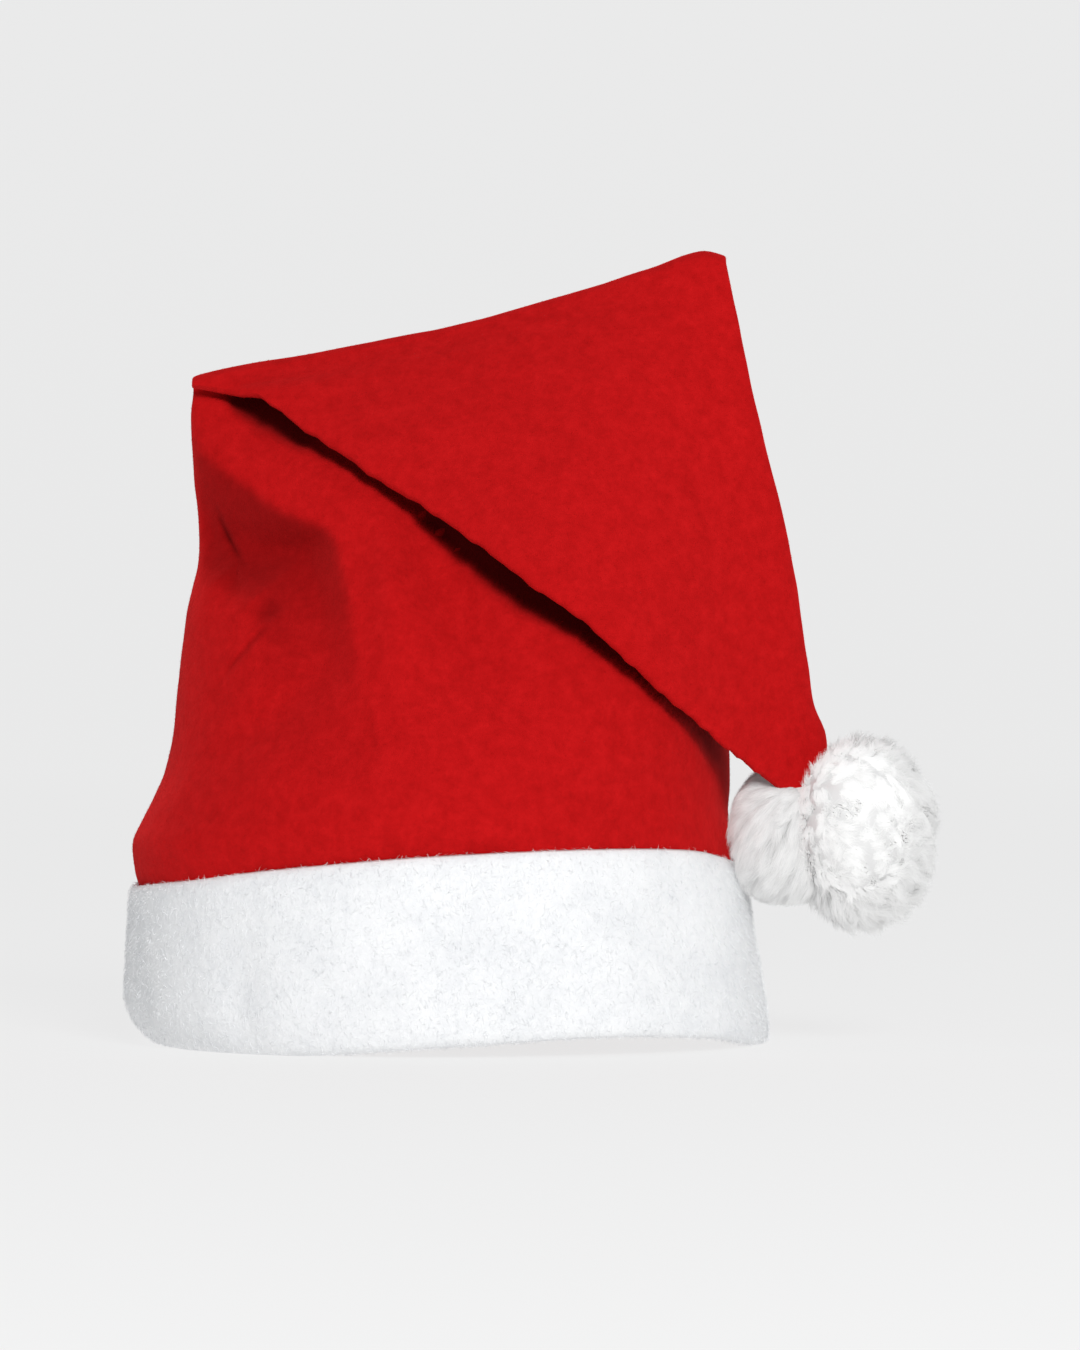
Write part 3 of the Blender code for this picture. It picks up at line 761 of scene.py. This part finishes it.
def with_painted_shade(nodes, links, colour, share, dark):
    """The colour mixed with a dark one as far as painted shade darkens the piece's points."""
    painted_shade = nodes.new("ShaderNodeAttribute")
    painted_shade.attribute_name = "painted_shade"
    kept = math_node(nodes, links, "MULTIPLY", painted_shade.outputs["Fac"], share)
    mixed = nodes.new("ShaderNodeMix")
    mixed.data_type = "RGBA"
    factor, first, second = (mixed.inputs[i] for i in (0, 6, 7))
    links.new(kept, factor)
    links.new(colour, first)
    second.default_value = (*dark, 1)
    return mixed.outputs[2]


def felt():
    """Pressed red felt: cloudy colour, short crossed fibres, and a soft red sheen."""
    material, nodes, links, shader, place = new_material("red_felt")
    clouds = noise_node(nodes, links, place, scale=190.0)
    nap = noise_node(nodes, links, place, scale=480.0, detail=4.0, roughness=0.7)
    grain = noise_node(nodes, links, place, scale=1900.0, detail=2.0, roughness=0.8)
    tone = math_node(nodes, links, "ADD", clouds, math_node(nodes, links, "MULTIPLY", nap, 0.7))
    tone = math_node(nodes, links, "MULTIPLY", tone, 0.59)
    colour = ramp_node(nodes, links, tone, (
        (0.30, (0.400, 0.0036, 0.0042)),
        (0.50, (0.480, 0.0050, 0.0060)),
        (0.70, (0.560, 0.0072, 0.0084)),
    ))
    # Painted shade: near black in the groove under the flap's edge, in the big fold and creases,
    # and on the flap's underside.
    colour = with_painted_shade(nodes, links, colour, share=0.88, dark=(0.010, 0.0, 0.0))
    links.new(colour, shader.inputs["Base Color"])
    rough = nodes.new("ShaderNodeMapRange")
    rough.inputs["To Min"].default_value = 0.82
    rough.inputs["To Max"].default_value = 0.98
    links.new(nap, rough.inputs["Value"])
    links.new(rough.outputs["Result"], shader.inputs["Roughness"])
    shader.inputs["Specular IOR Level"].default_value = 0.06
    shader.inputs["Sheen Weight"].default_value = 0.60
    shader.inputs["Sheen Roughness"].default_value = 0.50
    shader.inputs["Sheen Tint"].default_value = (1.0, 0.03, 0.03, 1)
    pressed = bump_node(nodes, links, nap, distance=0.0009, strength=0.35)
    fine = bump_node(nodes, links, grain, distance=0.0004, strength=0.30, after=pressed)
    links.new(fine, shader.inputs["Normal"])
    return material


def plush():
    """Short white plush: a cloudy white, with painted shade greying the hollows between the tufts
    of the pile, where the same noise sinks the bump.
    """
    material, nodes, links, shader, place = new_material("white_plush")
    clouds = noise_node(nodes, links, place, scale=60.0)
    tufts = noise_node(nodes, links, place, scale=330.0, detail=4.0, roughness=0.7)
    tone = math_node(nodes, links, "ADD", clouds, tufts)
    tone = math_node(nodes, links, "MULTIPLY", tone, 0.5)
    colour = ramp_node(nodes, links, tone, (
        (0.32, (0.800, 0.812, 0.828)),
        (0.50, (0.868, 0.876, 0.886)),
        (0.68, (0.915, 0.920, 0.926)),
    ))
    links.new(colour, shader.inputs["Base Color"])
    shader.inputs["Roughness"].default_value = 0.92
    shader.inputs["Specular IOR Level"].default_value = 0.10
    shader.inputs["Sheen Weight"].default_value = 0.10
    shader.inputs["Sheen Roughness"].default_value = 0.5
    pressed = bump_node(nodes, links, tufts, distance=0.0014, strength=0.40)
    links.new(pressed, shader.inputs["Normal"])
    return material


def fur():
    """Long white pile, a little greyer in patches, and greyed by painted shade down between the
    tufts and where the lobes lie in shade.
    """
    material, nodes, links, shader, place = new_material("white_fur")
    patches = noise_node(nodes, links, place, scale=160.0)
    colour = ramp_node(nodes, links, patches, (
        (0.30, (0.880, 0.880, 0.876)),
        (0.55, (0.915, 0.915, 0.910)),
        (0.75, (0.930, 0.930, 0.925)),
    ))
    # Painted shade: grey on the core, at the strands' roots and between the tufts, and at the tips
    # of the back and left lobes.
    colour = with_painted_shade(nodes, links, colour, share=1.0, dark=(0.42, 0.42, 0.42))
    links.new(colour, shader.inputs["Base Color"])
    shader.inputs["Roughness"].default_value = 0.85
    shader.inputs["Specular IOR Level"].default_value = 0.15
    shader.inputs["Sheen Weight"].default_value = 0.20
    return material


# The crown.

def crown_mesh(name, angle, body_rings, fold_rings, flap_rings, material):
    """The crown's cloth as one surface with a closed tip."""
    rings, shade = crown_rings(angle, body_rings, fold_rings, flap_rings)
    around = rings.shape[1]
    faces = grid_faces(len(rings), around)
    points = rings.reshape(-1, 3)
    last, before = rings[-1].mean(axis=0), rings[-2].mean(axis=0)
    points = np.vstack([points, last + unit(last - before) * CLOTH])
    pole, first = len(points) - 1, (len(rings) - 1) * around
    faces += [(first + i, first + (i + 1) % around, pole) for i in range(around)]
    piece = mesh_piece(name, points + SHIFT, faces, material)
    face_out(piece)
    set_painted_shade(piece, np.append(shade.ravel(), 0.0))
    return piece


def crown_piece(material):
    """The cloth's outer face, a little rumpled."""
    piece = crown_mesh("crown_felt", crown_angles(CROWN_AROUND), BODY_RINGS, FOLD_RINGS,
                       FLAP_RINGS, material)
    rumple(piece, scale=26.0, depth=0.0008)
    rumple(piece, scale=85.0, depth=0.00025)
    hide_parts("crown")
    return piece


def crown_inside(material):
    """The cloth's inner face, a cloth's thickness in, which meets the outer one at the rim."""
    angle = np.linspace(0, 2 * np.pi, LINING_AROUND, endpoint=False)
    piece = crown_mesh("crown_inside", angle, LINING_RINGS, LINING_FOLD_RINGS, LINING_RINGS,
                       material)
    vertices = piece.data.vertices
    normals = [vert.normal.copy() for vert in vertices]
    for vert, normal in zip(list(vertices)[LINING_AROUND:], normals[LINING_AROUND:]):
        vert.co -= normal * CLOTH
    piece.data.flip_normals()
    return piece


def rumple(piece, scale, depth):
    """Moves the surface in and out a little, softly and unevenly."""
    for vert, normal in zip(piece.data.vertices, [v.normal.copy() for v in piece.data.vertices]):
        vert.co += normal * depth * noise.noise(vert.co * scale)


# The band.

# The band's outer face and rolled edges: how far in, as a share of its wall, and how far up.
ProfileRow = namedtuple("ProfileRow", "along inset up")
BAND_PROFILE = (
    ProfileRow(0.00, 0.720, 0.000),
    ProfileRow(0.05, 0.300, 0.000),
    ProfileRow(0.10, 0.060, 0.035),
    ProfileRow(0.20, -0.020, 0.140),
    ProfileRow(0.50, -0.060, 0.450),
    ProfileRow(0.80, -0.060, 0.780),
    ProfileRow(0.92, -0.080, 0.930),
    ProfileRow(0.97, 0.020, 0.985),
    ProfileRow(1.00, 0.200, 1.000),
)

# The rest of its section, down its inner face, in the same shares.
InnerRow = namedtuple("InnerRow", "inset up")
BAND_INNER = (
    InnerRow(0.80, 0.985),
    InnerRow(1.00, 0.930),
    InnerRow(1.00, 0.700),
    InnerRow(1.00, 0.450),
    InnerRow(1.00, 0.200),
    InnerRow(0.95, 0.050),
)

# The groove for the crown's edge has this room under the cloth and beside it, and ends so far up.
GROOVE_UNDER = 0.0010
GROOVE_BESIDE = 0.0003
GROOVE_TOP = 0.995

# The outer face, which the hollows below press in, ends at this share of the lip.
FACE_LIP = 0.7

# Soft hollows round the band: where round it and how far up, their reach, their depth.
BandDent = namedtuple("BandDent", "degrees up reach reach_up depth")
BAND_DENTS = (
    BandDent(198, 0.30, 0.016, 0.022, 0.0016),
    BandDent(232, 0.34, 0.009, 0.026, 0.0014),
    BandDent(262, 0.60, 0.030, 0.012, 0.0007),
    BandDent(292, 0.40, 0.020, 0.020, 0.0009),
    BandDent(318, 0.62, 0.014, 0.024, 0.0010),
    BandDent(20, 0.50, 0.016, 0.022, 0.0010),
    BandDent(75, 0.40, 0.024, 0.020, 0.0012),
    BandDent(120, 0.60, 0.020, 0.018, 0.0010),
    BandDent(158, 0.35, 0.014, 0.022, 0.0012),
)


def band_hollow(angle, up):
    """How far the hollows press the band's outer face in."""
    pressed = np.zeros(np.broadcast(angle, up).shape)
    for dent in BAND_DENTS:
        turn = (angle - math.radians(dent.degrees) + np.pi) % (2 * np.pi) - np.pi
        around, over = turn * HALF_LENGTH / dent.reach, (up - dent.up) * BAND_HEIGHT / dent.reach_up
        pressed += dent.depth * np.exp(-around ** 2 - over ** 2)
    return pressed


def band_piece(material):
    """The padded ring: its section, closed, carried round the rim."""
    angle = np.linspace(0, 2 * np.pi, BAND_AROUND, endpoint=False)[:, None]
    face = read(BAND_PROFILE, np.linspace(0, 1, BAND_STEPS))
    inset, up = face.inset * BAND_WALL, face.up
    floor = 1 - (HEM_DEPTH + GROOVE_UNDER) / BAND_HEIGHT
    slot_out, slot_in = BAND_LIP - GROOVE_BESIDE, BAND_LIP + CLOTH + GROOVE_BESIDE
    rest = [(slot_out, floor), (slot_in, floor), (slot_in, GROOVE_TOP)]
    rest += [(row.inset * BAND_WALL, row.up) for row in BAND_INNER]
    inset = np.concatenate([inset, [row[0] for row in rest]])[None, :]
    up = np.concatenate([up, [row[1] for row in rest]])[None, :]
    outside = inset < BAND_LIP * FACE_LIP
    inset = inset + outside * band_hollow(angle, up)
    points = band_points(angle + 0 * up, inset + 0 * angle, up + 0 * angle)
    around, steps = points.shape[0], points.shape[1]
    closed = np.concatenate([points, points[:1]])
    faces = [tuple(index % (around * steps) for index in face)
             for face in grid_faces(len(closed), steps)]
    piece = mesh_piece("band_plush", points.reshape(-1, 3) + SHIFT, faces, material)
    face_out(piece)
    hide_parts("band")
    return piece


# The pompom.

# The core's size and painted-shade grey, and where the strands start, in shares of each lobe's half
# size.
CORE_SIZE = 0.82
CORE_PAINTED_SHADE = 0.35
FUR_START = 0.78
FUR_ROOM = 0.0004

# The left lobe's strands are parted where the flap lies over them: down to so far below its free
# edge, and so far above its tip.
PARTED_BELOW = 0.0005
PARTED_ABOVE = 0.0010

# Each lobe's fur: its tufts and strands, a strand's knots and width, how far the strands sweep
# away from the sewn tip, how far each tuft is drawn together, how pointed, uneven and domed the
# tufts are, and how grey painted shade makes the strands at their tips, at their roots and between
# the tufts.
FurRow = namedtuple("FurRow", "side tufts strands knots width sweep drawn pointed uneven domed "
                    "grey_tip grey_root grey_between")
FUR = (
    FurRow("front", 460, 32000, 3, 0.00050, 0.25, 0.55, 0.13, 0.05, 0.35, 0.00, 0.10, 0.12),
    FurRow("back", 760, 30000, 3, 0.00050, 0.25, 0.60, 0.10, 0.05, 0.40, 0.14, 0.30, 0.20),
    FurRow("left", 300, 32000, 4, 0.00042, 0.85, 0.35, 0.02, 0.02, 0.35, 0.16, 0.20, 0.25),
)

# How much the strands of the front half face forward, and those of the back half backward.
FACED_OUT = 0.9

# How unevenly the tufts' heads lie, the tufts lean, the strands lie loose and face; and by what
# shares the tufts and the strands differ in height.
HEADS_UNEVEN = 0.05
TUFTS_LEAN = 0.09
STRANDS_LOOSE = 0.05
STRANDS_FACE = 0.10
TUFT_HEIGHTS = (-1.0, 0.8)
STRAND_HEIGHTS = (0.97, 1.01)

# How a strand's sweep fades, how late it is drawn to its tuft's head, and how soon it rises.
SWEEP_KEPT = 0.35
DRAWN_LATE = 1.5
RISEN_SOON = 0.8


def evenly_round(count):
    """Directions spread evenly over a sphere."""
    index = np.arange(count) + 0.5
    height = 1 - 2 * index / count
    turn = np.pi * (1 + 5 ** 0.5) * index
    flat = np.sqrt(1 - height ** 2)
    return np.stack([np.cos(turn) * flat, np.sin(turn) * flat, height], axis=1)


def lobe_frame(lobe):
    centre = np.array((lobe.across, -lobe.toward, lobe.up)) * POMPOM_SIZE + pompom_centre()
    half = np.array((lobe.half_across, lobe.half_toward, lobe.half_up)) * POMPOM_SIZE
    return centre, half


def swollen(ways, square):
    """Directions made as long as the surface of a ball that is a little square."""
    ways = unit(ways)
    return ways * np.sum(np.abs(ways) ** square, axis=-1, keepdims=True) ** (-1 / square)


def pompom_centre():
    middle = flap_middle(np.array([1.0]), np.array([0.0]))[0]
    return np.array((POMPOM_X, middle[1], POMPOM_RISE))


def lobe_strands(lobe, row, seed):
    """Strands from inside a lobe to its outside, drawn together into tufts that lie over, with
    the ways that they face and how grey painted shade makes them at their knots."""
    rng = np.random.default_rng(seed)
    centre, half = lobe_frame(lobe)
    ends = unit(rng.normal(size=(row.strands, 3)))
    heads = unit(evenly_round(row.tufts) + rng.normal(size=(row.tufts, 3)) * HEADS_UNEVEN)
    near = np.argmax(ends @ heads.T, axis=1)
    apart = np.linalg.norm(ends - heads[near], axis=1) * math.sqrt(row.tufts) / 2
    tall = 1 + row.uneven * rng.uniform(*TUFT_HEIGHTS, size=row.tufts)[near] - row.pointed * apart
    tall = tall * rng.uniform(*STRAND_HEIGHTS, size=row.strands)
    sewn = unit((TIP + (0, pompom_centre()[1], 0) - centre) / half)
    leaning = rng.normal(size=(row.tufts, 3))[near] * TUFTS_LEAN
    loose = rng.normal(size=(row.strands, 3)) * STRANDS_LOOSE
    shares = np.linspace(0, 1, row.knots)
    knots = []
    for share in shares:
        back = row.sweep * (1 - share) * (SWEEP_KEPT + (1 - SWEEP_KEPT) * (1 - share))
        way = mix(ends, heads[near], row.drawn * share ** DRAWN_LATE)
        way = swollen(way + sewn * back + (leaning + loose) * share ** 2, lobe.square)
        knots.append(centre + way * half * mix(FUR_START, tall, share ** RISEN_SOON)[:, None])
    outward = unit(unit(ends) / half)
    faced = outward + row.domed * (ends - heads[near]) * math.sqrt(row.tufts) / 2
    faced[:, 1] += FACED_OUT * np.sign(outward[:, 1])
    faced = unit(faced + rng.normal(size=ends.shape) * STRANDS_FACE)
    # Painted shade: greyer at the roots and between the tufts, and over the tips of lobes that lie
    # in shade.
    dark = row.grey_tip + row.grey_root * (1 - shares) + row.grey_between * apart[:, None] ** 2
    return np.stack(knots, axis=1), faced, np.clip(dark, 0, 1)


def under_flap(knots):
    """Which strands end where the flap's free edge lies over the pompom in the front view."""
    x, z = knots[:, -1, 0], knots[:, -1, 2]
    _, below = beside_line(flap_edge(np.linspace(0, 1, LINE_SAMPLES))[0][:, ::2], x, z)
    return (below < PARTED_BELOW) & (z > TIP[2] + PARTED_ABOVE)


def clear_of(knots, pieces, room):
    """Which strands cross none of the pieces and keep a little room from them."""
    keep = np.ones(len(knots), dtype=bool)
    for piece in pieces:
        tree = BVHTree.FromPolygons([v.co[:] for v in piece.data.vertices],
                                    [p.vertices[:] for p in piece.data.polygons])
        for i, strand in enumerate(knots):
            if not keep[i]:
                continue
            for a, b in zip(strand[1:-1], strand[2:]):
                way = Vector(b - a)
                if tree.ray_cast(Vector(a), way, way.length)[0] is not None:
                    keep[i] = False
            if tree.find_nearest(Vector(strand[-1]), room)[0] is not None:
                keep[i] = False
    return keep


def pompom_core(material):
    """A smooth ball in each lobe, just under its fur."""
    bm = bmesh.new()
    for lobe in LOBES:
        centre, half = lobe_frame(lobe)
        ball = bmesh.ops.create_icosphere(bm, subdivisions=5, radius=1.0)["verts"]
        ways = swollen(np.array([vert.co for vert in ball]), lobe.square)
        for vert, place in zip(ball, centre + ways * half * CORE_SIZE + SHIFT):
            vert.co = place
    points = [vert.co[:] for vert in bm.verts]
    faces = [[vert.index for vert in face.verts] for face in bm.faces]
    bm.free()
    piece = mesh_piece("pompom_core", points, faces, material)
    # The core is greyed evenly with painted shade, as shade deep under the fur.
    set_painted_shade(piece, np.full(len(points), CORE_PAINTED_SHADE))
    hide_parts("pompom")
    return piece


def pompom_pieces(material, around_it):
    """The core and the fur of each lobe, which keeps clear of the pieces around it."""
    core = pompom_core(material)
    for lobe, row in zip(LOBES, FUR):
        knots, faced, dark = lobe_strands(lobe, row, SEED + row.tufts)
        if row.side == "left":
            shown = ~under_flap(knots)
            knots, faced, dark = knots[shown], faced[shown], dark[shown]
        knots += SHIFT
        free = clear_of(knots, around_it, FUR_ROOM)
        fur_piece = fibre_piece("pompom_fur_" + row.side, knots[free], row.width, material,
                                SEED, faced[free], dark[free])
        fur_piece.visible_shadow = False
    return core


# The studio.

def stage():
    """A pale floor that curves up into a backdrop, and gives off its own even grey."""
    bm = bmesh.new()
    reach, floor_depth, rise, turn, steps = 6.0, 4.5, 3.0, 1.2, 12
    section = [(-reach, 0.0), (floor_depth, 0.0)]
    for i in range(1, steps + 1):
        angle = math.radians(90) * i / steps
        section.append((floor_depth + turn * math.sin(angle), turn * (1 - math.cos(angle))))
    section.append((floor_depth + turn, rise + turn))
    rows = [[bm.verts.new((x, y, z)) for x in (-reach, reach)] for y, z in section]
    for low, high in zip(rows, rows[1:]):
        bm.faces.new((low[0], low[1], high[1], high[0]))
    mesh = bpy.data.meshes.new("backdrop")
    bm.to_mesh(mesh)
    bm.free()
    mesh.shade_smooth()
    paper = bpy.data.materials.new("backdrop_paper")
    paper.use_nodes = True
    shader = paper.node_tree.nodes["Principled BSDF"]
    shader.inputs["Base Color"].default_value = (0.12, 0.12, 0.12, 1)
    shader.inputs["Roughness"].default_value = 1.0
    shader.inputs["Specular IOR Level"].default_value = 0.0
    shader.inputs["Emission Color"].default_value = (0.76, 0.76, 0.76, 1)
    shader.inputs["Emission Strength"].default_value = 1.0
    mesh.materials.append(paper)
    backdrop = bpy.data.objects.new("backdrop", mesh)
    bpy.context.scene.collection.objects.link(backdrop)


Lamp = namedtuple("Lamp", "name place size power")
LAMPS = (
    Lamp("key", (0.50, -2.45, 1.25), 0.7, 46.0),
    Lamp("fill", (-2.00, -2.20, 0.90), 1.8, 3.0),
    Lamp("top", (0.20, 0.20, 2.60), 1.6, 4.0),
)
LIGHTS_AIM = (0.0, 0.0, 0.13)


def lights():
    aim = Vector(LIGHTS_AIM)
    for lamp in LAMPS:
        light = bpy.data.lights.new(lamp.name, "AREA")
        light.size = lamp.size
        light.energy = lamp.power
        holder = bpy.data.objects.new(lamp.name, light)
        holder.location = lamp.place
        holder.rotation_euler = (aim - holder.location).to_track_quat("-Z", "Y").to_euler()
        bpy.context.scene.collection.objects.link(holder)
    world = bpy.data.worlds.new("studio")
    world.use_nodes = True
    world.node_tree.nodes["Background"].inputs["Color"].default_value = (0.95, 0.97, 1.0, 1)
    world.node_tree.nodes["Background"].inputs["Strength"].default_value = 0.30
    bpy.context.scene.world = world


CAMERA_DISTANCE = 2.60
CAMERA_HEIGHT = 0.150
AIM_ACROSS = 0.0340
AIM_HEIGHT = 0.1288
LENS = 198.0


def camera():
    lens = bpy.data.cameras.new("camera")
    lens.lens = LENS
    holder = bpy.data.objects.new("camera", lens)
    aim = Vector((AIM_ACROSS + SHIFT[0], 0.0, AIM_HEIGHT))
    holder.location = (aim.x, -CAMERA_DISTANCE, CAMERA_HEIGHT)
    holder.rotation_euler = (aim - holder.location).to_track_quat("-Z", "Y").to_euler()
    bpy.context.scene.collection.objects.link(holder)
    bpy.context.scene.camera = holder


# The felt's nap and the band's pile: how many fibres, how long and wide they are, how far they
# rise as a share of their length, and which way they are combed.
NapRow = namedtuple("NapRow", "count length width rise comb")
BAND_PILE = NapRow(60000, 0.0026, 0.00022, 0.55, (0, 0, -0.6))
CROWN_NAP = NapRow(50000, 0.0013, 0.00008, 0.35, (0, 0, 0))
PILE_LOWEST = 0.0004


def nap_knots(piece, nap, seed):
    roots, normals = scatter(piece, nap.count, seed)
    return lying_fibres(roots, normals, nap.length, nap.rise, seed + 1, comb=nap.comb)


def main():
    red, white, pile = felt(), plush(), fur()
    crown = crown_piece(red)
    lining = crown_inside(red)
    band = band_piece(white)
    core = pompom_pieces(pile, (crown, band))
    knots = nap_knots(band, BAND_PILE, SEED + 1)
    knots[..., 2] = np.maximum(knots[..., 2], PILE_LOWEST)
    fibre_piece("band_pile", knots, BAND_PILE.width, white, SEED + 3)
    knots = nap_knots(crown, CROWN_NAP, SEED + 4)
    fibre_piece("crown_nap", knots, CROWN_NAP.width, red, SEED + 6)
    stage()
    lights()
    camera()
    bpy.context.scene.view_settings.view_transform = "Standard"


main()
